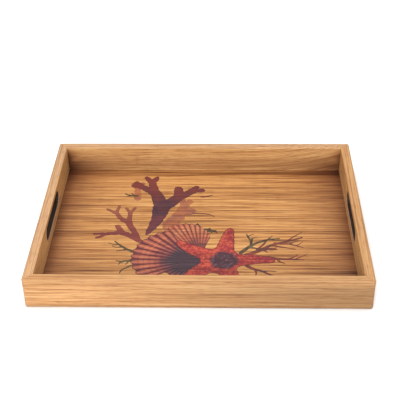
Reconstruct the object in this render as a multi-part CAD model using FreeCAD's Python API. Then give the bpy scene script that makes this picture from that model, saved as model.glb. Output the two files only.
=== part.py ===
"""A wooden serving tray: four mitred boards around a plywood floor, with a hand slot in each end board.

The origin is at the centre of the underside. X runs along the tray's length, Y from front to back, Z up.
All sizes are in millimetres.
"""

import FreeCAD, Part
import math
import os

Vector = FreeCAD.Vector

# The tray outside
TRAY_LENGTH = 450.0
TRAY_WIDTH = 330.0
TRAY_HEIGHT = 46.0

# The boards
BOARD_THICKNESS = 13.0
CORNER_RADIUS = 3.2
EDGE_ROUNDING = 1.2
BOTTOM_ROUNDING = 2.4

# The floor panel, from the underside up: back veneer, core, face veneer
VENEER_THICKNESS = 0.6
CORE_THICKNESS = 3.6
REBATE_WIDTH = 6.0

# The hand slots, one in each end board
SLOT_LENGTH = 103.0
SLOT_HEIGHT = 20.0
SLOT_CENTRE_HEIGHT = 27.7
SLOT_ROUNDING = 1.5

# The loose key glued across each mitre
KEY_THICKNESS = 3.0
KEY_WIDTH = 10.0
KEY_BOTTOM = 10.0
KEY_LENGTH = 28.0
KEY_FROM_INNER_CORNER = 6.5
KEY_CHAMFER = 0.6

# The brads that hold the floor panel in its rebate
BRAD_RADIUS = 0.6
BRAD_HEAD_RADIUS = 1.0
BRAD_HEAD_DEPTH = 0.3
BRAD_LENGTH = 15.0
BRAD_POINT_LENGTH = 1.2
BRAD_POINT_RADIUS = 0.1
LONG_SIDE_BRADS = 7
SHORT_SIDE_BRADS = 5
BRAD_END_DISTANCE = 35.0

# Worked out from the sizes above
INNER_LENGTH = TRAY_LENGTH - 2 * BOARD_THICKNESS
INNER_WIDTH = TRAY_WIDTH - 2 * BOARD_THICKNESS
PANEL_LENGTH = INNER_LENGTH + 2 * REBATE_WIDTH
PANEL_WIDTH = INNER_WIDTH + 2 * REBATE_WIDTH
CORE_BOTTOM = VENEER_THICKNESS
CORE_TOP = CORE_BOTTOM + CORE_THICKNESS
FLOOR_TOP = CORE_TOP + VENEER_THICKNESS

# How far a cutting tool runs past the face that it cuts
OVERSHOOT = 5.0
TOLERANCE = 1e-4


def centred_slab(length, width, bottom, top):
    """A box centred on the Z axis."""
    corner = Vector(-length / 2, -width / 2, bottom)
    return Part.makeBox(length, width, top - bottom, corner)


def level_edges(shape, height):
    """The edges of a shape that lie in the level plane at this height."""
    return [
        edge
        for edge in shape.Edges
        if abs(edge.BoundBox.ZMin - height) < TOLERANCE
        and abs(edge.BoundBox.ZMax - height) < TOLERANCE
    ]


def upright_edges(shape):
    """The straight vertical edges of a shape."""
    return [
        edge
        for edge in shape.Edges
        if edge.BoundBox.XLength < TOLERANCE and edge.BoundBox.YLength < TOLERANCE
    ]


def frame_block():
    """The outside of the four boards as one block, with rounded corners."""
    block = centred_slab(TRAY_LENGTH, TRAY_WIDTH, 0, TRAY_HEIGHT)
    block = block.makeFillet(CORNER_RADIUS, upright_edges(block))
    return block.makeFillet(BOTTOM_ROUNDING, level_edges(block, 0))


def slot_cutter(end):
    """The round-ended bar that cuts one hand slot; end is -1 for the left board and 1 for the right."""
    radius = SLOT_HEIGHT / 2
    straight = SLOT_LENGTH - SLOT_HEIGHT
    depth = BOARD_THICKNESS + 2 * OVERSHOOT
    start = end * (TRAY_LENGTH / 2 - BOARD_THICKNESS / 2) - depth / 2
    bar = Part.makeBox(
        depth,
        straight,
        SLOT_HEIGHT,
        Vector(start, -straight / 2, SLOT_CENTRE_HEIGHT - radius),
    )
    for side in (-1, 1):
        centre = Vector(start, side * straight / 2, SLOT_CENTRE_HEIGHT)
        bar = bar.fuse(Part.makeCylinder(radius, depth, centre, Vector(1, 0, 0)))
    return bar.removeSplitter()


def slot_rims(shape):
    """The edges where the hand slots meet the inner and outer faces of the end boards."""
    faces = (TRAY_LENGTH / 2, INNER_LENGTH / 2)
    low = SLOT_CENTRE_HEIGHT - SLOT_HEIGHT / 2 - TOLERANCE
    high = SLOT_CENTRE_HEIGHT + SLOT_HEIGHT / 2 + TOLERANCE
    rims = []
    for edge in shape.Edges:
        box = edge.BoundBox
        flat = box.XLength < TOLERANCE
        on_face = any(abs(abs(box.XMin) - x) < TOLERANCE for x in faces)
        in_slot = box.ZMin > low and box.ZMax < high
        if flat and on_face and in_slot:
            rims.append(edge)
    return rims


def frame_ring():
    """The four boards in one piece: open inside, rebated for the floor, slotted, with eased edges."""
    ring = frame_block().cut(
        centred_slab(INNER_LENGTH, INNER_WIDTH, -OVERSHOOT, TRAY_HEIGHT + OVERSHOOT)
    )
    ring = ring.makeFillet(EDGE_ROUNDING, level_edges(ring, TRAY_HEIGHT))
    ring = ring.cut(centred_slab(PANEL_LENGTH, PANEL_WIDTH, -OVERSHOOT, FLOOR_TOP))
    for end in (-1, 1):
        ring = ring.cut(slot_cutter(end))
    return ring.makeFillet(SLOT_ROUNDING, slot_rims(ring))


def mitre_wedge(turns):
    """The space between the mitre planes of one board, this many quarter turns on from the front."""
    along, across = TRAY_LENGTH, TRAY_WIDTH
    if turns % 2:
        along, across = across, along
    outer_x = along / 2 + OVERSHOOT
    outer_y = -across / 2 - OVERSHOOT
    reach = BOARD_THICKNESS + 2 * OVERSHOOT
    corners = [
        Vector(-outer_x, outer_y, -OVERSHOOT),
        Vector(outer_x, outer_y, -OVERSHOOT),
        Vector(outer_x - reach, outer_y + reach, -OVERSHOOT),
        Vector(reach - outer_x, outer_y + reach, -OVERSHOOT),
    ]
    face = Part.Face(Part.makePolygon(corners + corners[:1]))
    wedge = face.extrude(Vector(0, 0, TRAY_HEIGHT + 2 * OVERSHOOT))
    wedge.rotate(Vector(0, 0, 0), Vector(0, 0, 1), 90 * turns)
    return wedge


def corner_key(side_x, side_y):
    """The loose key of one corner: a thin upright slip that crosses the mitre at a right angle."""
    offset = KEY_FROM_INNER_CORNER / math.sqrt(2)
    key = Part.makeBox(
        KEY_WIDTH,
        KEY_THICKNESS,
        KEY_LENGTH,
        Vector(-KEY_WIDTH / 2, -KEY_THICKNESS / 2, 0),
    )
    ends = level_edges(key, 0) + level_edges(key, KEY_LENGTH)
    key = key.makeChamfer(KEY_CHAMFER, ends)
    key.rotate(Vector(0, 0, 0), Vector(0, 0, 1), -45 * side_x * side_y)
    key.translate(
        Vector(
            side_x * (INNER_LENGTH / 2 + offset),
            side_y * (INNER_WIDTH / 2 + offset),
            KEY_BOTTOM,
        )
    )
    return key


def brad_places():
    """The (x, y) of every brad: an even row along the middle of the rebate on each side."""
    line_x = (INNER_LENGTH + REBATE_WIDTH) / 2
    line_y = (INNER_WIDTH + REBATE_WIDTH) / 2
    places = []
    for index in range(LONG_SIDE_BRADS):
        reach = TRAY_LENGTH / 2 - BRAD_END_DISTANCE
        x = -reach + 2 * reach * index / (LONG_SIDE_BRADS - 1)
        places += [(x, -line_y), (x, line_y)]
    for index in range(SHORT_SIDE_BRADS):
        reach = TRAY_WIDTH / 2 - BRAD_END_DISTANCE
        y = -reach + 2 * reach * index / (SHORT_SIDE_BRADS - 1)
        places += [(-line_x, y), (line_x, y)]
    return places


def brad(x, y, head_bottom):
    """One brad, point up, or its hole if the head starts below the underside."""
    up = Vector(0, 0, 1)
    head_top = VENEER_THICKNESS
    tip = head_top + BRAD_LENGTH
    shoulder = tip - BRAD_POINT_LENGTH
    head = Part.makeCylinder(
        BRAD_HEAD_RADIUS, head_top - head_bottom, Vector(x, y, head_bottom), up
    )
    shank = Part.makeCylinder(BRAD_RADIUS, shoulder - head_top, Vector(x, y, head_top), up)
    point = Part.makeCone(
        BRAD_RADIUS, BRAD_POINT_RADIUS, BRAD_POINT_LENGTH, Vector(x, y, shoulder), up
    )
    return head.fuse([shank, point]).removeSplitter()


def only_solid(shape):
    """The one solid that a cut or a common leaves."""
    solids = shape.Solids
    if len(solids) != 1:
        raise ValueError("expected one solid, got %d" % len(solids))
    return solids[0]


def make_parts():
    """Every sub-part by its name."""
    corners = {
        "front_left": (-1, -1),
        "front_right": (1, -1),
        "back_right": (1, 1),
        "back_left": (-1, 1),
    }
    keys = {name: corner_key(*sides) for name, sides in corners.items()}
    places = brad_places()
    holes = [brad(x, y, -OVERSHOOT) for x, y in places]
    pockets = list(keys.values()) + holes

    parts = {}
    ring = frame_ring()
    for turns, side in enumerate(("front", "right", "back", "left")):
        board = only_solid(ring.common(mitre_wedge(turns)))
        parts[side + "_board"] = only_solid(board.cut(pockets))

    layers = {
        "floor_back_veneer": (0, CORE_BOTTOM),
        "floor_core": (CORE_BOTTOM, CORE_TOP),
        "floor_face_veneer": (CORE_TOP, FLOOR_TOP),
    }
    for name, (bottom, top) in layers.items():
        layer = centred_slab(PANEL_LENGTH, PANEL_WIDTH, bottom, top)
        parts[name] = only_solid(layer.cut(holes))

    for name, key in keys.items():
        parts["corner_key_" + name] = key

    brads = [brad(x, y, VENEER_THICKNESS - BRAD_HEAD_DEPTH) for x, y in places]
    parts["floor_brads"] = Part.makeCompound(brads)
    return parts


def main():
    os.makedirs("parts", exist_ok=True)
    for name, shape in make_parts().items():
        if not shape.isValid():
            raise ValueError(name + " is not a valid shape")
        shape.exportStep("parts/%s.step" % name)
        box = shape.BoundBox
        print("%-26s %2d solid %10.1f mm3  z %5.2f to %5.2f" % (
            name, len(shape.Solids), shape.Volume, box.ZMin, box.ZMax))


main()
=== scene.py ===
import math
import random

import bmesh
import bpy
import numpy as np
from mathutils import Matrix, Vector


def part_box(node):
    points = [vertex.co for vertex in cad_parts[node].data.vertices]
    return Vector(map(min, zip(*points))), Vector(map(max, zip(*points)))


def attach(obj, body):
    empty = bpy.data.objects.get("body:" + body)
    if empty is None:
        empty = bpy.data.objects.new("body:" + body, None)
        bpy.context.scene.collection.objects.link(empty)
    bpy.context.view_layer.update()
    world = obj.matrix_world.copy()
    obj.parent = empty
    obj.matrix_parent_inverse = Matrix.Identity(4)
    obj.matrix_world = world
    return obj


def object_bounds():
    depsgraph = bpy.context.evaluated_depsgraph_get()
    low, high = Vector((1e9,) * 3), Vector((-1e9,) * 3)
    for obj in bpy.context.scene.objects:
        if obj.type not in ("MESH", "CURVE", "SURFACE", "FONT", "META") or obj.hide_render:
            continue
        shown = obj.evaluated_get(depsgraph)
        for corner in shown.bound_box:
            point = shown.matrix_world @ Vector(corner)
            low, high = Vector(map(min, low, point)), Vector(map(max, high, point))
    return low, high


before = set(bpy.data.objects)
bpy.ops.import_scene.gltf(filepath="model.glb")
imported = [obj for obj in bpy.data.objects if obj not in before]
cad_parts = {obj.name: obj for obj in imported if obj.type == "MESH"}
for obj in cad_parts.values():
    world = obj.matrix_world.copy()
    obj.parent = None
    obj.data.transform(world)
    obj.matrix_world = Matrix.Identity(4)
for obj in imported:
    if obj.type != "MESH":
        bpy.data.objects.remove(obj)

cad_low, cad_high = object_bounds()
MM = 0.001

# ---------------------------------------------------------------- sizes, the tray's read from the frame and the hand slots' given

TRAY_HALF_LENGTH = cad_high.x
TRAY_HALF_WIDTH = cad_high.y
TRAY_HEIGHT = cad_high.z
INNER_HALF_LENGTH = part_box("right_board")[0].x
INNER_HALF_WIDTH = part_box("back_board")[0].y
BOARD_THICKNESS = TRAY_HALF_LENGTH - INNER_HALF_LENGTH
FLOOR_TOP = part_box("floor_face_veneer")[1].z

# The hand slots, as the end boards have them
SLOT_HALF_STRAIGHT = 41.5 * MM
SLOT_RADIUS = 10 * MM
SLOT_CENTRE_HEIGHT = 27.7 * MM


# ---------------------------------------------------------------- camera, stage and lights

CAMERA_PLACE = (0.0364, -1.0423, 0.7942)
CAMERA_HEADING = 2.064
CAMERA_TILT = 35.33
CAMERA_ROLL = -1.025
CAMERA_LENS = 81.82
SENSOR_WIDTH = 36.0

STAGE_REACH = 6.0
STAGE_WHITE = 0.88
STAGE_ROUGHNESS = 0.9
SURROUND_STRENGTH = 0.38

# The soft boxes: place, size and power
OVERHEAD_LIGHT = ((0.0, 0.2, 1.7), (1.7, 1.8), 36)
FRONT_LIGHT = ((-0.25, -2.0, 1.15), (0.9, 0.9), 42)


def make_camera():
    """A long lens in front of the tray, a little to its right and above, tilted down on to it."""
    data = bpy.data.cameras.new("camera")
    data.lens = CAMERA_LENS
    data.sensor_width = SENSOR_WIDTH
    camera = bpy.data.objects.new("camera", data)
    heading = Matrix.Rotation(math.radians(CAMERA_HEADING), 4, "Z")
    tilt = Matrix.Rotation(math.radians(90 - CAMERA_TILT), 4, "X")
    roll = Matrix.Rotation(math.radians(CAMERA_ROLL), 4, "Z")
    camera.matrix_world = Matrix.Translation(CAMERA_PLACE) @ heading @ tilt @ roll
    bpy.context.scene.collection.objects.link(camera)
    bpy.context.scene.camera = camera


def make_light(name, place, size, power):
    """A rectangular soft box at a place, aimed at the tray."""
    data = bpy.data.lights.new(name, "AREA")
    data.shape = "RECTANGLE"
    data.size, data.size_y = size
    data.energy = power
    light = bpy.data.objects.new(name, data)
    light.location = place
    light.rotation_mode = "QUATERNION"
    light.rotation_quaternion = (-Vector(place)).to_track_quat("-Z", "Y")
    bpy.context.scene.collection.objects.link(light)


def make_surround(strength):
    """A white surround that lights the scene softly and shows as plain white behind it."""
    world = bpy.data.worlds.new("studio")
    world.use_nodes = True
    tree = world.node_tree
    lighting = tree.nodes["Background"]
    lighting.inputs["Color"].default_value = (1, 1, 1, 1)
    lighting.inputs["Strength"].default_value = strength
    shown = tree.nodes.new("ShaderNodeBackground")
    shown.inputs["Color"].default_value = (1, 1, 1, 1)
    path = tree.nodes.new("ShaderNodeLightPath")
    choice = tree.nodes.new("ShaderNodeMixShader")
    tree.links.new(path.outputs["Is Camera Ray"], choice.inputs[0])
    tree.links.new(lighting.outputs[0], choice.inputs[1])
    tree.links.new(shown.outputs[0], choice.inputs[2])
    tree.links.new(choice.outputs[0], tree.nodes["World Output"].inputs["Surface"])
    bpy.context.scene.world = world


def make_floor():
    """The plain white floor that the tray stands on."""
    mesh = bpy.data.meshes.new("studio_floor")
    reach = STAGE_REACH
    corners = [(-reach, -reach, 0), (reach, -reach, 0), (reach, reach, 0), (-reach, reach, 0)]
    mesh.from_pydata(corners, [], [(0, 1, 2, 3)])
    floor = bpy.data.objects.new("studio_floor", mesh)
    bpy.context.scene.collection.objects.link(floor)
    material = bpy.data.materials.new("studio_white")
    material.use_nodes = True
    principled = material.node_tree.nodes["Principled BSDF"]
    principled.inputs["Base Color"].default_value = (STAGE_WHITE, STAGE_WHITE, STAGE_WHITE, 1)
    principled.inputs["Roughness"].default_value = STAGE_ROUGHNESS
    mesh.materials.append(material)


def make_studio():
    """High-key light: a large box overhead, one in front to the left, and a weak surround."""
    bpy.context.scene.view_settings.view_transform = "Standard"
    make_surround(SURROUND_STRENGTH)
    make_floor()
    make_light("overhead", *OVERHEAD_LIGHT)
    make_light("front", *FRONT_LIGHT)


# ---------------------------------------------------------------- node helpers


def linear(red, green, blue):
    """A linear colour from 0 to 255 display values."""
    def channel(value):
        value /= 255
        return value / 12.92 if value <= 0.04045 else ((value + 0.055) / 1.055) ** 2.4

    return (channel(red), channel(green), channel(blue), 1.0)


class Graph:
    """Adds nodes to a material and returns their output sockets."""

    def __init__(self, name):
        self.material = bpy.data.materials.new(name)
        self.material.use_nodes = True
        self.tree = self.material.node_tree
        self.surface = self.tree.nodes["Principled BSDF"]
        place = self.add("ShaderNodeTexCoord")
        self.place = place.outputs["Object"]

    def add(self, kind, inputs=(), **settings):
        node = self.tree.nodes.new(kind)
        for key, value in settings.items():
            setattr(node, key, value)
        for key, value in dict(inputs).items():
            self.put(node.inputs[key], value)
        return node

    def put(self, socket, value):
        if isinstance(value, bpy.types.NodeSocket):
            self.tree.links.new(value, socket)
        else:
            socket.default_value = value

    def math(self, operation, first, second=0.0, third=0.0, clamp=False):
        node = self.add("ShaderNodeMath", {0: first, 1: second, 2: third}, operation=operation)
        node.use_clamp = clamp
        return node.outputs[0]

    def vector(self, operation, first, second=(0, 0, 0)):
        node = self.add("ShaderNodeVectorMath", {0: first, 1: second}, operation=operation)
        return node.outputs["Value" if operation in ("LENGTH", "DOT_PRODUCT") else "Vector"]

    def split(self, vector):
        return self.add("ShaderNodeSeparateXYZ", {0: vector}).outputs[:]

    def join(self, x, y, z):
        return self.add("ShaderNodeCombineXYZ", {0: x, 1: y, 2: z}).outputs[0]

    def noise(self, vector, scale=1.0, detail=2.0, roughness=0.5, distortion=0.0):
        inputs = {
            "Vector": vector,
            "Scale": scale,
            "Detail": detail,
            "Roughness": roughness,
            "Distortion": distortion,
        }
        return self.add("ShaderNodeTexNoise", inputs).outputs[0]

    def spread(self, value, low, high, to_low=0.0, to_high=1.0):
        """A value mapped smoothly from one range to another, and held at its ends."""
        inputs = {
            "Value": value,
            "From Min": low,
            "From Max": high,
            "To Min": to_low,
            "To Max": to_high,
        }
        return self.add("ShaderNodeMapRange", inputs, interpolation_type="SMOOTHSTEP").outputs[0]

    def shaded(self, colour, shade):
        """A colour multiplied by one number."""
        return self.mix(1.0, colour, self.join(shade, shade, shade), blend="MULTIPLY")

    def mix(self, share, first, second, blend="MIX"):
        node = self.add("ShaderNodeMix", data_type="RGBA", blend_type=blend)
        factor, first_colour, second_colour, mixed = (0, 6, 7, 2)
        self.put(node.inputs[factor], share)
        self.put(node.inputs[first_colour], first)
        self.put(node.inputs[second_colour], second)
        return node.outputs[mixed]

    def ramp(self, value, stops):
        node = self.add("ShaderNodeValToRGB", {0: value})
        elements = node.color_ramp.elements
        while len(elements) < len(stops):
            elements.new(0.5)
        for element, (position, colour) in zip(elements, stops):
            element.position = position
            element.color = colour
        return node.outputs[0]


# ---------------------------------------------------------------- wood


# Where along a board its fibres begin to bow, and the half length over which its painted light changes
BOW_START = 50 * MM
FALLOFF_REACH = 200 * MM

# The half length over which the painted shade changes from the left end of the tray to the right
SHADE_REACH = 150 * MM

# How fast red, green and blue change under painted shade
SHADE_RATES = (1.0, 1.27, 1.33)

SPECULAR_LEVEL = 0.28
COAT_WEIGHT = 0.04
COAT_ROUGHNESS = 0.3
BUMP_STRENGTH = 0.35
BUMP_DEPTH = 0.12 * MM

# The fibres, from broad bands to fine threads: each one's share of the tone, and its scales along
# and across
FIBRES = [
    (0.07, 1.6, 24.0),
    (0.07, 2.2, 75.0),
    (0.20, 4.0, 340.0),
    (0.36, 7.0, 620.0),
    (0.30, 16.0, 1050.0),
]

WOOD_TONES = {
    "board": [
        (0.05, linear(140, 93, 56)),
        (0.36, linear(176, 127, 79)),
        (0.62, linear(190, 143, 93)),
        (0.95, linear(203, 161, 112)),
    ],
    "face": [
        (0.06, linear(84, 41, 19)),
        (0.32, linear(150, 97, 51)),
        (0.58, linear(187, 134, 77)),
        (0.88, linear(202, 154, 98)),
    ],
    "back": [
        (0.10, linear(136, 88, 52)),
        (0.40, linear(172, 126, 84)),
        (0.62, linear(188, 145, 101)),
        (0.90, linear(202, 163, 122)),
    ],
}


def grain(graph, along="X", seed=0.0, coarse=1.0, sway=3.0, bow=0.0, streaky=0.30):
    """Wood grain in object space: its tone, from dark 0 to light 1, and its pores.

    The fibres run along X or Y. They stray by about sway millimetres, and past the middle of the board
    they bow upwards, as they do where a board was cut across the growth rings.
    """
    x, y, z = graph.split(graph.place)
    run, across, depth = (y, x, z) if along == "Y" else (x, y, z)
    slow = graph.join(
        graph.math("MULTIPLY_ADD", run, 2.2, seed),
        graph.math("MULTIPLY", across, 7.0),
        graph.math("MULTIPLY", depth, 7.0),
    )
    wander = graph.noise(slow, detail=1.0)
    stray = graph.math("MULTIPLY_ADD", wander, 4 * sway * MM, -2 * sway * MM)
    past = graph.math("MAXIMUM", graph.math("SUBTRACT", run, BOW_START), 0.0)
    rise = graph.math("MULTIPLY", graph.math("MULTIPLY", past, past), -bow)
    across = graph.math("ADD", across, stray)
    depth = graph.math("ADD", depth, rise)

    def fibres(run_scale, across_scale, shift, detail=1.0):
        vector = graph.join(
            graph.math("MULTIPLY_ADD", run, run_scale, seed + shift),
            graph.math("MULTIPLY", across, across_scale * coarse),
            graph.math("MULTIPLY_ADD", depth, across_scale * coarse, shift),
        )
        return graph.noise(vector, detail=detail, roughness=0.55)

    tone = 0.0
    for share, run_scale, across_scale in FIBRES:
        layer = graph.spread(fibres(run_scale, across_scale, across_scale), 0.37, 0.63)
        tone = graph.math("MULTIPLY_ADD", layer, share, tone)

    # Thin dark lines where a slow noise passes its middle value, here and there along the fibres
    level = graph.math("ABSOLUTE", graph.math("SUBTRACT", fibres(2.0, 320.0, 21.0), 0.5))
    patches = graph.spread(fibres(3.5, 180.0, 27.0), 0.42, 0.62)
    streaks = graph.math("MULTIPLY", graph.spread(level, 0.005, 0.050, 1.0, 0.0), patches)
    tone = graph.math("MULTIPLY_ADD", streaks, -streaky, tone)
    pores = graph.spread(fibres(60.0, 2100.0, 33.0, detail=0.0), 0.62, 0.76)
    return tone, pores


def beyond(graph, half_length, half_width):
    """How far each point lies outside an upright box of this size round the tray's middle."""
    x, y, _ = graph.split(graph.vector("ABSOLUTE", graph.place))
    return graph.math(
        "MAXIMUM", graph.math("SUBTRACT", x, half_length), graph.math("SUBTRACT", y, half_width)
    )


def edge_shade(graph):
    """1 along the outer arrises of the boards, top and bottom, where painted shade darkens them, in
    patches.
    """
    z = graph.split(graph.place)[2]
    out = beyond(graph, TRAY_HALF_LENGTH, TRAY_HALF_WIDTH)
    foot = graph.vector("LENGTH", graph.join(out, z, 0.0))
    top = graph.vector("LENGTH", graph.join(out, graph.math("SUBTRACT", TRAY_HEIGHT, z), 0.0))
    x = graph.split(graph.place)[0]
    width = graph.spread(x, -150 * MM, 50 * MM, 4.0 * MM, 2.0 * MM)
    foot = graph.spread(graph.math("SUBTRACT", foot, width), 0.0, 3.0 * MM, 1.0, 0.0)
    foot = graph.math("MULTIPLY", foot, graph.spread(x, -150 * MM, 50 * MM, 1.0, 0.65))
    top = graph.spread(top, 0.6 * MM, 1.8 * MM, 0.40, 0.0)
    patches = graph.spread(graph.noise(graph.place, scale=50.0), 0.30, 0.70, 0.70, 1.0)
    return graph.math("MULTIPLY", graph.math("MAXIMUM", foot, top), patches)


def mitre_line(graph):
    """1 on the fine glue line of the four mitres."""
    x, y, _ = graph.split(graph.vector("ABSOLUTE", graph.place))
    gap = graph.math("SUBTRACT", x, y)
    gap = graph.math("SUBTRACT", gap, TRAY_HALF_LENGTH - TRAY_HALF_WIDTH)
    return graph.spread(graph.math("ABSOLUTE", gap), 0.10 * MM, 0.40 * MM, 1.0, 0.0)


def slot_distance(graph):
    """How far each point lies from the middle line of the hand slots."""
    _, y, z = graph.split(graph.place)
    past_end = graph.math("SUBTRACT", graph.math("ABSOLUTE", y), SLOT_HALF_STRAIGHT)
    past_end = graph.math("MAXIMUM", past_end, 0.0)
    above = graph.math("SUBTRACT", z, SLOT_CENTRE_HEIGHT)
    return graph.vector("LENGTH", graph.join(past_end, above, 0.0))


def finish_wood(graph, colour, tone, pores, gloss=0.42):
    """Puts a satin lacquer over a wood colour, with bump and roughness from its grain."""
    colour = graph.mix(graph.math("MULTIPLY", pores, 0.55), colour, linear(88, 48, 26))
    graph.put(graph.surface.inputs["Base Color"], colour)
    height = graph.math("MULTIPLY_ADD", pores, -0.6, tone)
    bump = graph.add(
        "ShaderNodeBump", {"Strength": BUMP_STRENGTH, "Distance": BUMP_DEPTH, "Height": height}
    )
    graph.put(graph.surface.inputs["Normal"], bump.outputs[0])
    roughness = graph.math("MULTIPLY_ADD", tone, -0.10, gloss + 0.06)
    roughness = graph.math("MULTIPLY_ADD", pores, 0.15, roughness)
    graph.put(graph.surface.inputs["Roughness"], roughness)
    graph.surface.inputs["Specular IOR Level"].default_value = SPECULAR_LEVEL
    graph.surface.inputs["Coat Weight"].default_value = COAT_WEIGHT
    graph.surface.inputs["Coat Roughness"].default_value = COAT_ROUGHNESS
    return graph.material


def board_material(
    name, along, seed, light_falloff, rim=1.0, rim_highlight=0.0, slotted=False, inner_shade=False, **figure
):
    """One board, with its own grain.

    light_falloff is painted light: how brightly the board is lit at its two ends, from low X or Y to high,
    and rim is the share of that painted light which its rim takes. rim_highlight is how strong a painted
    highlight on the top edge is.
    inner_shade paints light and shade on the inner face: lighter high up and at the very foot, darker low
    down towards the corners. figure goes to the grain.
    """
    graph = Graph(name)
    tone, pores = grain(graph, along, seed, coarse=1.15, streaky=0.22, **figure)
    colour = graph.ramp(tone, WOOD_TONES["board"])
    x, y, height = graph.split(graph.place)
    place = y if along == "Y" else x
    # Painted light: the board is lit more brightly towards one end than the other, less so on its rim
    shade = graph.spread(place, -FALLOFF_REACH, FALLOFF_REACH, light_falloff[0] - 1, light_falloff[1] - 1)
    below_rim = graph.spread(height, 30 * MM, TRAY_HEIGHT, 1.0, rim)
    colour = graph.shaded(colour, graph.math("MULTIPLY_ADD", shade, below_rim, 1.0))
    if inner_shade:
        # Painted light and shade on the inner face: lighter high up and at the very foot, darker low down
        # towards the corners
        upper = graph.spread(height, 14 * MM, 40 * MM, 0.05, -0.27)
        foot = graph.math("ADD", upper, graph.spread(height, 5 * MM, 14 * MM, -0.24, 0.0))
        corners = corner_shade(graph, right=0.70, widening=1.0)
        colour = paint_shade(graph, colour, graph.math("MULTIPLY_ADD", foot, inner_face(graph), corners))
    if slotted:
        # Painted light: the inner faces of the end boards are lightened
        colour = paint_shade(graph, colour, graph.math("MULTIPLY", inner_face(graph), -0.33))
    edge = (TRAY_HEIGHT - 1.0 * MM, TRAY_HEIGHT - 0.3 * MM)
    # A painted highlight: the very top edge lightened towards a pale grey
    colour = graph.mix(graph.spread(height, *edge, 0.0, rim_highlight), colour, linear(178, 157, 140))
    # Painted shade along the top and bottom arrises, broken into patches
    colour = graph.mix(graph.math("MULTIPLY", edge_shade(graph), 0.45), colour, linear(116, 80, 54))
    colour = graph.mix(graph.math("MULTIPLY", mitre_line(graph), 0.40), colour, linear(90, 52, 30))
    if slotted:
        colour = around_slot(graph, colour)
    return finish_wood(graph, colour, tone, pores)


def around_slot(graph, colour):
    """Paints a highlight round the hand slots, most of all inside the tray, and stains their walls."""
    distance = slot_distance(graph)
    # A painted highlight round the slot's rim, strongest on the inner face
    slot_highlight = graph.spread(distance, SLOT_RADIUS + 1.2 * MM, SLOT_RADIUS + 4.5 * MM, 0.70, 0.0)
    slot_highlight = graph.math("MULTIPLY", slot_highlight, graph.math("MULTIPLY_ADD", inner_face(graph), 0.6, 0.4))
    colour = graph.mix(slot_highlight, colour, linear(156, 123, 112))
    stained = graph.spread(distance, SLOT_RADIUS + 0.2 * MM, SLOT_RADIUS + 0.5 * MM, 0.97, 0.0)
    return graph.mix(stained, colour, linear(20, 12, 8))


def inner_face(graph):
    """1 inside the tray, on the floor and the inner faces of the boards, and 0 outside and on the rims."""
    outside = beyond(graph, INNER_HALF_LENGTH, INNER_HALF_WIDTH)
    return graph.spread(outside, 0.2 * MM, 0.9 * MM, 1.0, 0.0)


def left_to_right(graph, left, right):
    """A share that changes from the left end of the tray to the right."""
    x = graph.split(graph.place)[0]
    return graph.spread(x, -SHADE_REACH, SHADE_REACH, left, right)


def corner_shade(graph, right, widening):
    """How deep the painted shade lies inside the tray, most of all low down in the back corners.

    Towards the right end the depth changes to this share of the left end's, and the reach grows by
    widening.
    """
    x, y, z = graph.split(graph.place)
    from_side = graph.math("SUBTRACT", INNER_HALF_LENGTH, graph.math("ABSOLUTE", x))
    from_side = graph.math("MAXIMUM", from_side, 0.0)
    from_back = graph.math("MAXIMUM", graph.math("SUBTRACT", INNER_HALF_WIDTH, y), 0.0)
    reach = graph.spread(graph.math("ABSOLUTE", y), 25 * MM, 90 * MM, -20 * MM, -31 * MM)
    reach = graph.math("MULTIPLY", reach, left_to_right(graph, 1.0, widening))
    fade = graph.math("EXPONENT", graph.math("DIVIDE", from_side, reach))
    depth = graph.spread(from_back, 0.0, 60 * MM, 2.1, 1.2)
    low = graph.spread(z, 7 * MM, 37 * MM, 1.0, 0.0)
    side = graph.math("MULTIPLY", graph.math("MULTIPLY", fade, depth), low)
    from_corner = graph.math("ADD", from_side, from_back)
    corner = graph.math("EXPONENT", graph.math("DIVIDE", from_corner, -9 * MM))
    corner = graph.math("MULTIPLY", corner, graph.spread(z, 28 * MM, 48.5 * MM, 1.9, 0.0))
    shade = graph.math("MULTIPLY", graph.math("MAXIMUM", side, corner), inner_face(graph))
    return graph.math("MULTIPLY", shade, left_to_right(graph, 1.0, right))


def paint_shade(graph, colour, depth):
    """Multiplies a wood colour by painted shade of this depth, which lightens it where the depth is below
    0: blue and green change faster than red.
    """
    left = [
        graph.math("EXPONENT", graph.math("MULTIPLY", depth, -rate)) for rate in SHADE_RATES
    ]
    return graph.mix(1.0, colour, graph.join(*left), blend="MULTIPLY")


def floor_shade(graph):
    """The painted shade on the floor: along the end boards, and a painted shadow in a narrow band at the
    foot of the back.
    """
    y = graph.split(graph.place)[1]
    from_back = graph.math("SUBTRACT", INNER_HALF_WIDTH, y)
    # A painted shadow of the back board on the floor: a narrow band with a sharp edge
    back = graph.spread(from_back, 13.5 * MM, 16.0 * MM, 0.37, 0.0)
    back = graph.math("MULTIPLY", back, graph.spread(from_back, 0.0, 10 * MM, 0.35, 1.0))
    back = graph.math("MULTIPLY", back, left_to_right(graph, 0.82, 1.15))
    depth = 2 * INNER_HALF_WIDTH
    # Painted shade at the foot of the front board
    front = graph.spread(from_back, depth - 14 * MM, depth, 0.0, 0.6)
    sides = corner_shade(graph, right=0.92, widening=1.24)
    return graph.math("ADD", graph.math("ADD", sides, back), front)


def face_wood(graph):
    """The floor's face veneer, which the print lies on: its colour, tone and pores."""
    tone, pores = grain(graph, "X", 3.7, sway=1.6)
    colour = graph.ramp(tone, WOOD_TONES["face"])
    # Painted shade on the floor along the boards
    colour = paint_shade(graph, colour, floor_shade(graph))
    return colour, tone, pores


def face_material():
    graph = Graph("face_veneer_wood")
    colour, tone, pores = face_wood(graph)
    return finish_wood(graph, colour, tone, pores, gloss=0.40)


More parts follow.
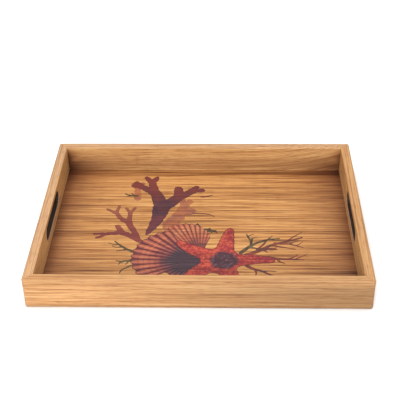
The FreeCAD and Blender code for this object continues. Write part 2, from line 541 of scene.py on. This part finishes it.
def back_material():
    """The back veneer, with the fine dark joint round its edge."""
    graph = Graph("back_veneer_wood")
    tone, pores = grain(graph, "X", 12.9, coarse=0.8)
    colour = graph.ramp(tone, WOOD_TONES["back"])
    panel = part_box("floor_back_veneer")[1]
    outside = beyond(graph, panel.x, panel.y)
    joint = graph.spread(outside, -0.6 * MM, -0.15 * MM, 0.0, 0.75)
    colour = graph.mix(joint, colour, linear(60, 38, 24))
    return finish_wood(graph, colour, tone, pores, gloss=0.55)


def raw_material(name, along, seed):
    """Unfinished wood inside the tray's construction."""
    graph = Graph(name)
    tone, pores = grain(graph, along, seed)
    return finish_wood(graph, graph.ramp(tone, WOOD_TONES["back"]), tone, pores, gloss=0.7)


def dress_tray():
    """Gives every CAD node its material."""
    looks = {
        "front_board": board_material("front_board_wood", "X", 1.3, light_falloff=(1.10, 0.635), rim=0.35),
        "back_board": board_material(
            "back_board_wood",
            "X",
            5.9,
            light_falloff=(0.97, 0.96),
            rim_highlight=0.16,
            inner_shade=True,
            sway=5.0,
            bow=0.9,
        ),
        "left_board": board_material(
            "left_board_wood", "Y", 8.2, light_falloff=(1.05, 0.88), rim_highlight=0.20, slotted=True
        ),
        "right_board": board_material(
            "right_board_wood", "Y", 14.6, light_falloff=(0.88, 0.93), slotted=True
        ),
        "floor_face_veneer": face_material(),
        "floor_back_veneer": back_material(),
        "floor_core": raw_material("plywood_core_wood", "Y", 2.2),
        "floor_brads": steel_material(),
    }
    key_look = raw_material("key_wood", "X", 6.1)
    for name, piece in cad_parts.items():
        material = key_look if name.startswith("corner_key") else looks[name]
        piece.data.materials.clear()
        piece.data.materials.append(material)


def steel_material():
    graph = Graph("brad_steel")
    marks = graph.noise(graph.place, scale=900.0, detail=3.0)
    colour = graph.mix(marks, linear(150, 150, 152), linear(196, 196, 198))
    graph.put(graph.surface.inputs["Base Color"], colour)
    graph.surface.inputs["Metallic"].default_value = 1.0
    graph.put(graph.surface.inputs["Roughness"], graph.spread(marks, 0.3, 0.7, 0.28, 0.5))
    return graph.material


# ---------------------------------------------------------------- the printed motif
# Drawn in millimetres on the floor. Its origin is the floor's centre, X to the right and Y to the back.

# The distance between a drawing's grid points, and the straight pieces between two points of a limb
GRID_STEP = 0.45
LINE_STEPS = 7
EMPTY = 1000.0

# An outline with fewer points than this is a speck and is left out
SHORTEST_OUTLINE = 8

# How much thicker each sheet of ink is than the one before it
LAYER = 0.02 * MM


class Sketch:
    """A flat drawing held as the distance to its outline on a grid of points: negative inside."""

    def __init__(self, circles):
        """A drawing that covers every circle, each given as (x, y, radius)."""
        left, front = (min(circle[axis] - circle[2] for circle in circles) for axis in (0, 1))
        right, back = (max(circle[axis] + circle[2] for circle in circles) for axis in (0, 1))
        columns = np.arange(left, right, GRID_STEP)
        rows = np.arange(front, back, GRID_STEP)
        self.x, self.y = np.meshgrid(columns, rows)
        self.field = np.full(self.x.shape, EMPTY)

    def window(self, left, front, right, back):
        """The part of the grid that covers this rectangle."""
        columns = np.searchsorted(self.x[0], (left, right))
        rows = np.searchsorted(self.y[:, 0], (front, back))
        return np.s_[rows[0]:rows[1], columns[0]:columns[1]]

    def add(self, distance, blend=1.5, window=np.s_[:, :]):
        """Joins a shape to the drawing, with a fillet about as wide as blend where they meet."""
        field = self.field[window]
        overlap = np.clip(0.5 + (field - distance) / (2 * blend), 0, 1)
        self.field[window] = field + (distance - field) * overlap - blend * overlap * (1 - overlap)

    def limb(self, points, widths, blend=1.5):
        """Adds a tapering limb along a smooth line through the points."""
        line = smooth_line(points, widths)
        margin = max(widths) + 4 * blend + 3
        for (ax, ay, ar), (bx, by, br) in zip(line, line[1:]):
            window = self.window(
                min(ax, bx) - margin,
                min(ay, by) - margin,
                max(ax, bx) + margin,
                max(ay, by) + margin,
            )
            x, y = self.x[window] - ax, self.y[window] - ay
            dx, dy = bx - ax, by - ay
            share = np.clip((x * dx + y * dy) / (dx * dx + dy * dy), 0, 1)
            reach = np.hypot(x - share * dx, y - share * dy)
            self.add(reach - (ar + share * (br - ar)), blend, window)

    def spot(self, x, y, radius, blend=0.5):
        self.add(np.hypot(self.x - x, self.y - y) - radius, blend)

    def roughen(self, amount, size, seed):
        """Makes the outline uneven, as brushed ink has it."""
        source = random.Random(seed)
        for _ in range(5):
            angle = source.uniform(0, math.tau)
            pitch = math.tau / (size * source.uniform(0.7, 1.6))
            phase = source.uniform(0, math.tau)
            wave = self.x * math.cos(angle) + self.y * math.sin(angle)
            self.field = self.field + amount * 0.45 * np.sin(wave * pitch + phase)

    def outlines(self, level=0.0):
        """The closed outlines of the area where the field is below the level, in metres."""
        inside = self.field < level
        corners = [inside[:-1, :-1], inside[:-1, 1:], inside[1:, 1:], inside[1:, :-1]]
        count = sum(corner.astype(int) for corner in corners)
        following = {}
        for row, column in np.argwhere((count > 0) & (count < 4)):
            ring = [
                (row, column),
                (row, column + 1),
                (row + 1, column + 1),
                (row + 1, column),
            ]
            crossings = []
            for start, end in zip(ring, ring[1:] + ring[:1]):
                if inside[start] != inside[end]:
                    crossings.append((inside[start], tuple(sorted((start, end)))))
            for index, (leaves, edge) in enumerate(crossings):
                if leaves:
                    following[edge] = crossings[(index + 1) % len(crossings)][1]
        loops = []
        while following:
            start, edge = following.popitem()
            loop = [start]
            while edge != start:
                loop.append(edge)
                edge = following.pop(edge)
            loops.append([self.crossing(edge, level) for edge in loop])
        return loops

    def crossing(self, edge, level):
        """Where the field passes the level between two grid points, a little clear of both."""
        first, second = edge
        share = (level - self.field[first]) / (self.field[second] - self.field[first])
        share = min(max(share, 0.02), 0.98)
        x = self.x[first] + share * (self.x[second] - self.x[first])
        y = self.y[first] + share * (self.y[second] - self.y[first])
        return (x * MM, y * MM)


def smooth_line(points, widths):
    """Points and widths along a Catmull-Rom line through a limb's points."""
    knots = [(*point, width) for point, width in zip(points, widths)]
    knots = [np.array(knot, float) for knot in knots]
    knots = [2 * knots[0] - knots[1], *knots, 2 * knots[-1] - knots[-2]]
    line = []
    for a, b, c, d in zip(knots, knots[1:], knots[2:], knots[3:]):
        for step in range(LINE_STEPS):
            t = step / LINE_STEPS
            line.append(
                0.5 * (2 * b + (c - a) * t + (2 * a - 5 * b + 4 * c - d) * t**2)
                + 0.5 * (3 * b - a - 3 * c + d) * t**3
            )
    return line + [knots[-2]]


def print_layer(name, loops, layer, material):
    """Fills closed outlines with ink: a thin sheet on the floor, thicker than the layers before it."""
    curve = bpy.data.curves.new(name, "CURVE")
    curve.dimensions = "2D"
    curve.fill_mode = "BOTH"
    thickness = LAYER * (layer + 1)
    curve.extrude = thickness / 2
    for loop in loops:
        if len(loop) < SHORTEST_OUTLINE:
            continue
        spline = curve.splines.new("POLY")
        spline.points.add(len(loop) - 1)
        for point, (x, y) in zip(spline.points, loop):
            point.co = (x, y, 0, 1)
        spline.use_cyclic_u = True
    outline = bpy.data.objects.new(name, curve)
    mesh = bpy.data.meshes.new_from_object(outline)
    bpy.data.objects.remove(outline)
    mesh.transform(Matrix.Translation((0, 0, FLOOR_TOP + thickness / 2)))
    work = bmesh.new()
    work.from_mesh(mesh)
    bmesh.ops.remove_doubles(work, verts=work.verts, dist=1e-7)
    bmesh.ops.recalc_face_normals(work, faces=work.faces)
    work.to_mesh(mesh)
    work.free()
    mesh.materials.clear()
    mesh.materials.append(material)
    piece = bpy.data.objects.new(name, mesh)
    bpy.context.scene.collection.objects.link(piece)
    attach(piece, "root")


def ink(name, paint, opacity=0.92):
    """Ink printed on the face veneer: a painted colour that the wood's grain shows through."""
    graph = Graph(name)
    wood, tone, pores = face_wood(graph)
    shade = graph.spread(tone, 0.15, 0.80, 0.52, 0.90)
    colour = graph.shaded(paint(graph), shade)
    return finish_wood(graph, graph.mix(opacity, wood, colour), tone, pores, gloss=0.38)


def blotches(graph, first, second, size, low=0.40, high=0.60, seed=0.0):
    """Two colours that run into each other in blotches about as large as size, in millimetres."""
    place = graph.vector("ADD", graph.place, (seed, seed * 0.7, 0))
    share = graph.noise(place, scale=1 / (size * MM), detail=3.0, roughness=0.6)
    return graph.mix(graph.spread(share, low, high), first, second)


# Corals: where each stem starts, its heading in degrees, its length, its half widths at both ends,
# and its seed
LARGE_CORAL = [(-77, -13, 73, 68, (3.0, 12.8), 26)]
SLENDER_CORAL = [
    (-86, -30, 143, 34, (4.0, 4.6), 26),
    (-88, -28, 112, 45, (3.4, 4.4), 126),
]
FAINT_CORAL = [(-97, 72, 98, 26, (3.6, 3.0), 3), (-48, 6, 62, 34, (9.0, 8.0), 9)]

# A coral limb shorter than this doesn't fork
CORAL_END = 22.0
CORAL_STEPS = 3

# The least and the most that a coral's limbs turn at a fork, shrink and thin
CORAL_FORK = (17, 38)
CORAL_SHRINK = (0.52, 0.72)
CORAL_THIN = (0.74, 0.90)
CORAL_TAPER = 0.72

# Sea twigs: where each starts, its heading in degrees, its length, half width and seed
DARK_TWIGS = [
    (-94, -54, 150, 36, 2.4, 3),
    (-92, -71, 200, 24, 2.2, 8),
    (-88, -84, 200, 28, 1.8, 15),
    (0, -6, 96, 18, 2.4, 5),
    (3, -4, -4, 18, 3.8, 40),
    (56, -56, 45, 66, 3.0, 21),
    (71, -41, 98, 28, 2.1, 26),
    (-98, 81, 172, 20, 2.0, 12),
]
RUST_TWIGS = [
    (57, -64, 26, 96, 3.6, 11),
    (80, -49, -4, 26, 3.0, 17),
    (94, -66, -14, 48, 3.0, 34),
    (64, -84, -32, 48, 2.7, 29),
    (104, -34, -8, 40, 2.1, 44),
    (-13, 37, 8, 34, 1.5, 31),
    (-2, 79, 6, 18, 1.6, 37),
]

# A shoot thinner than this grows no side shoots
TWIG_END = 2.0
TWIG_STEPS = 4
TWIG_TAPER = 0.17

# The scallops: hinge, axis and half angle in degrees, reach, how far the margin draws in at the
# sides, and ribs. The heel is a round lobe by the hinge: its centre and radius.
FRONT_SHELL = {
    "hinge": (-8, -74),
    "axis": 165,
    "half_angle": 47,
    "reach": 91,
    "droop": 0.13,
    "ribs": 11,
}
FRONT_HEEL = (-25, -88, 22)
BACK_SHELL = {
    "hinge": (0, -66),
    "axis": 118,
    "half_angle": 44,
    "reach": 86,
    "droop": 0.40,
    "ribs": 15,
}
BACK_HEEL = (2, -62, 8)
HINGE_RADIUS = 12

# The starfish: a regular star with equal arms
STAR_CENTRE = (28, -73)
STAR_ARMS = 5
STAR_HEADING = 4
STAR_REACH = 71
STAR_BODY = 28
STAR_WIDTHS = [15.0, 10.5, 7.2, 3.6]

# The starfish's dark middle: how far right of its centre it is, and its size
BRUISE = (5, 18)


def twig(sketch, x, y, heading, length, width, source):
    """Grows one twig with side shoots."""
    points = [(x, y)]
    turn = source.uniform(-14, 14)
    for step in range(TWIG_STEPS):
        angle = math.radians(heading + turn * step + source.uniform(-12, 12))
        x += math.cos(angle) * length / TWIG_STEPS
        y += math.sin(angle) * length / TWIG_STEPS
        points.append((x, y))
    widths = [width * (1 - TWIG_TAPER * step) for step in range(TWIG_STEPS + 1)]
    sketch.limb(points, widths, blend=0.6)
    sketch.spot(x, y, widths[-1] * 1.35)
    if width < TWIG_END:
        return
    for index in (1, 2, 3):
        side = 1 if (index + source.randrange(2)) % 2 else -1
        angle = heading + side * source.uniform(28, 52)
        share = length * source.uniform(0.30, 0.46)
        twig(sketch, *points[index], angle, share, widths[index] * 0.66, source)


def fan_distance(sketch, hinge, axis, half_angle, reach, droop, ribs):
    """The outline of a scallop: a fan with a wavy margin."""
    dx, dy = sketch.x - hinge[0], sketch.y - hinge[1]
    along = dx * math.cos(math.radians(axis)) + dy * math.sin(math.radians(axis))
    across = dy * math.cos(math.radians(axis)) - dx * math.sin(math.radians(axis))
    radius = np.hypot(along, across)
    angle = np.arctan2(across, along)
    limit = math.radians(half_angle)
    wave = 0.013 * np.cos(angle / limit * math.pi * ribs)
    margin = radius - reach * (0.965 + wave - droop * (angle / limit) ** 2)
    side = radius * np.sin(np.clip(np.abs(angle) - limit, -math.pi / 2, math.pi / 2))
    side = np.where(np.abs(angle) > limit + math.pi / 2, radius, side)
    return np.maximum(margin, side)


def draw_shell(shell, heel):
    x, y = shell["hinge"]
    sketch = Sketch([(x, y, shell["reach"] + 12)])
    sketch.add(fan_distance(sketch, **shell), 0.1)
    sketch.spot(x, y, HINGE_RADIUS, blend=4)
    sketch.spot(*heel, blend=6)
    return sketch


def draw_star():
    x, y = STAR_CENTRE
    sketch = Sketch([(x, y, STAR_REACH + 10)])
    sketch.spot(x, y, STAR_BODY)
    bend = random.Random(4)
    for arm in range(STAR_ARMS):
        points = []
        for share in (0.0, 0.35, 0.7, 1.0):
            turn = STAR_HEADING + 360 * arm / STAR_ARMS
            angle = math.radians(turn + share * bend.uniform(-5, 5))
            along = share * STAR_REACH
            points.append((x + along * math.cos(angle), y + along * math.sin(angle)))
        sketch.limb(points, STAR_WIDTHS, blend=5)
    sketch.roughen(0.35, 6, 2)
    return sketch


def coral_limb(sketch, x, y, heading, length, widths, source, blend):
    """Grows one limb of a coral, which forks in two until its limbs are short."""
    points = [(x, y)]
    bend = source.uniform(-9, 9)
    for step in range(CORAL_STEPS):
        angle = math.radians(heading + bend * step + source.uniform(-6, 6))
        x += math.cos(angle) * length / CORAL_STEPS
        y += math.sin(angle) * length / CORAL_STEPS
        points.append((x, y))
    first, last = widths
    steps = range(CORAL_STEPS + 1)
    sketch.limb(points, [first + (last - first) * step / CORAL_STEPS for step in steps], blend)
    if length < CORAL_END:
        return
    lean = source.uniform(-8, 8)
    for side in (-1, 1):
        angle = heading + 2 * bend + lean + side * source.uniform(*CORAL_FORK)
        width = last * source.uniform(*CORAL_THIN)
        share = length * source.uniform(*CORAL_SHRINK)
        coral_limb(sketch, x, y, angle, share, (width, width * CORAL_TAPER), source, blend)


def draw_coral(stems, rough, blend, seed):
    sketch = Sketch([(x, y, 3 * length + 14) for x, y, _, length, _, _ in stems])
    for x, y, heading, length, widths, grown in stems:
        coral_limb(sketch, x, y, heading, length, widths, random.Random(grown), blend)
    sketch.roughen(rough, 9, seed)
    return sketch


def draw_twigs(twigs):
    sketch = Sketch([(x, y, length + 14) for x, y, _, length, _, _ in twigs])
    for x, y, heading, length, width, seed in twigs:
        twig(sketch, x, y, heading, length, width, random.Random(seed))
    return sketch


def fan_place(graph, hinge, axis):
    """The angle from the fan's axis and the distance from its hinge, in millimetres, at each point."""
    local = graph.vector("SUBTRACT", graph.place, (hinge[0] * MM, hinge[1] * MM, 0))
    x, y, _ = graph.split(local)
    cosine, sine = math.cos(math.radians(axis)), math.sin(math.radians(axis))
    along = graph.math(
        "ADD", graph.math("MULTIPLY", x, cosine), graph.math("MULTIPLY", y, sine)
    )
    across = graph.math(
        "SUBTRACT", graph.math("MULTIPLY", y, cosine), graph.math("MULTIPLY", x, sine)
    )
    angle = graph.math("ARCTAN2", across, along)
    distance = graph.vector("LENGTH", graph.join(along, across, 0.0))
    return angle, graph.math("MULTIPLY", distance, 1 / MM)


def shell_paint(shell, hinge_colour, middle, margin, groove):
    """Ribs that fan out from the hinge, dark there and pale at the margin, with faint growth rings."""
    def paint(graph):
        angle, radius = fan_place(graph, shell["hinge"], shell["axis"])
        stray = graph.noise(graph.place, scale=60.0, detail=3.0, roughness=0.6)
        ribs = math.pi * shell["ribs"] / math.radians(shell["half_angle"])
        crest = graph.math("COSINE", graph.math("MULTIPLY", angle, ribs))
        crest = graph.math("MULTIPLY_ADD", crest, 0.5, 0.5)
        share = graph.math("MULTIPLY", radius, 1 / shell["reach"])
        share = graph.math("ADD", share, graph.math("MULTIPLY_ADD", stray, 0.44, -0.22))
        base = graph.ramp(
            share, [(0.34, hinge_colour), (0.52, middle), (0.74, margin), (0.98, middle)]
        )
        wave = graph.math("MULTIPLY_ADD", stray, 5.0, graph.math("MULTIPLY", radius, 0.8))
        rings = graph.math("SINE", wave)
        base = graph.mix(graph.spread(rings, 0.2, 1.0, 0.0, 0.30), base, groove)
        light = graph.spread(crest, 0.70, 1.0, 0.0, 0.38)
        glow = graph.mix(
            graph.spread(share, 0.40, 0.65), linear(126, 112, 116), linear(228, 158, 112)
        )
        base = graph.mix(light, base, glow)
        dark = graph.spread(graph.math("MULTIPLY_ADD", stray, 0.35, crest), 0.18, 0.46, 0.94, 0.0)
        return graph.mix(dark, base, groove)

    return paint


def star_paint(graph):
    """Crimson with small pale bumps and a mottled dark middle."""
    base = blotches(graph, linear(156, 40, 50), linear(200, 80, 60), 11)
    x = graph.split(graph.place)[0]
    base = graph.mix(graph.spread(x, 40 * MM, 85 * MM, 0.0, 0.55), base, linear(146, 40, 52))
    cells = graph.add("ShaderNodeTexVoronoi", {"Vector": graph.place, "Scale": 260.0})
    bumps = cells.outputs[0]
    base = graph.mix(graph.spread(bumps, 0.10, 0.36, 0.50, 0.0), base, linear(226, 124, 92))
    base = graph.mix(graph.spread(bumps, 0.48, 0.80, 0.0, 0.55), base, linear(112, 26, 40))
    fray = graph.noise(graph.place, scale=110.0, detail=3.0, roughness=0.65)
    rough = graph.math("MULTIPLY", fray, -16.0)
    shift, size = BRUISE
    radius = fan_place(graph, (STAR_CENTRE[0] + shift, STAR_CENTRE[1]), 0)[1]
    patch = graph.math("ADD", radius, rough)
    mottle = blotches(graph, linear(40, 30, 52), linear(96, 84, 96), 5, low=0.48, high=0.66)
    base = graph.mix(graph.spread(patch, size - 10.0, size - 4.0, 0.92, 0.0), base, mottle)
    return base


def coral_paint(root, middle, tip, size, low, high):
    """Colours at a coral's root, middle and tips, mottled where they meet; low and high in metres."""
    def paint(graph):
        y = graph.split(graph.place)[1]
        stray = graph.noise(graph.place, scale=1 / (size * MM), detail=3.0, roughness=0.6)
        level = graph.math("ADD", y, graph.math("MULTIPLY_ADD", stray, 0.12, -0.06))
        level = graph.spread(level, low, high)
        colour = graph.ramp(
            level, [(0.08, linear(*root)), (0.45, linear(*middle)), (0.92, linear(*tip))]
        )
        fleck = graph.noise(graph.place, scale=420.0, detail=2.0)
        return graph.mix(graph.spread(fleck, 0.50, 0.70, 0.0, 0.35), colour, linear(48, 30, 46))

    return paint


def blotched(first, second, size, seed=0.0):
    """A paint of two colours that run into each other in blotches."""
    def paint(graph):
        return blotches(graph, linear(*first), linear(*second), size, seed=seed)

    return paint


FAINT_PAINT = blotched((168, 88, 60), (138, 70, 66), 15)
SLENDER_PAINT = coral_paint((126, 46, 50), (140, 60, 56), (150, 80, 60), 26, -0.02, 0.06)
LARGE_PAINT = coral_paint((104, 44, 58), (60, 32, 54), (116, 44, 46), 24, -0.02, 0.13)
DARK_PAINT = blotched((38, 34, 36), (84, 76, 50), 8, seed=0.9)
RUST_PAINT = blotched((124, 52, 42), (76, 36, 44), 9, seed=0.2)
CORAL_EDGE = blotched((44, 24, 46), (84, 36, 46), 12)
SHELL_EDGE = blotched((84, 30, 40), (48, 26, 42), 10)
STAR_EDGE = blotched((120, 30, 40), (66, 26, 44), 10)
BACK_SHELL_PAINT = shell_paint(
    BACK_SHELL, linear(110, 44, 46), linear(178, 84, 62), linear(204, 122, 88), linear(96, 40, 42)
)
FRONT_SHELL_PAINT = shell_paint(
    FRONT_SHELL, linear(38, 32, 54), linear(132, 50, 58), linear(190, 98, 76), linear(62, 22, 38)
)


def print_motif():
    """Lays every element of the print on the floor, from the one furthest back to the starfish."""
    faint = draw_coral(FAINT_CORAL, 0.9, 3.0, 1)
    slender = draw_coral(SLENDER_CORAL, 0.4, 1.5, 5)
    large = draw_coral(LARGE_CORAL, 0.55, 2.4, 9)
    back_shell = draw_shell(BACK_SHELL, BACK_HEEL)
    front_shell = draw_shell(FRONT_SHELL, FRONT_HEEL)

    # Each element's name, drawing, paint, its edge line's paint, opacity and the line's width
    elements = [
        ("print_faint_coral", faint, FAINT_PAINT, None, 0.72, 0.0),
        ("print_slender_coral", slender, SLENDER_PAINT, CORAL_EDGE, 0.92, 0.5),
        ("print_large_coral", large, LARGE_PAINT, CORAL_EDGE, 0.96, 0.8),
        ("print_dark_twigs", draw_twigs(DARK_TWIGS), DARK_PAINT, None, 0.92, 0.0),
        ("print_rust_twigs", draw_twigs(RUST_TWIGS), RUST_PAINT, None, 0.92, 0.0),
        ("print_back_shell", back_shell, BACK_SHELL_PAINT, SHELL_EDGE, 0.95, 0.7),
        ("print_front_shell", front_shell, FRONT_SHELL_PAINT, SHELL_EDGE, 0.97, 0.9),
        ("print_starfish", draw_star(), star_paint, STAR_EDGE, 0.97, 0.9),
    ]
    for index, (name, sketch, paint, edge, opacity, line) in enumerate(elements):
        if edge is None:
            print_layer(name, sketch.outlines(), 2 * index, ink(name, paint, opacity))
            continue
        rim = name + "_line"
        print_layer(rim, sketch.outlines(), 2 * index, ink(rim, edge, opacity))
        print_layer(name, sketch.outlines(-line), 2 * index + 1, ink(name, paint, opacity))


make_camera()
make_studio()
dress_tray()
print_motif()
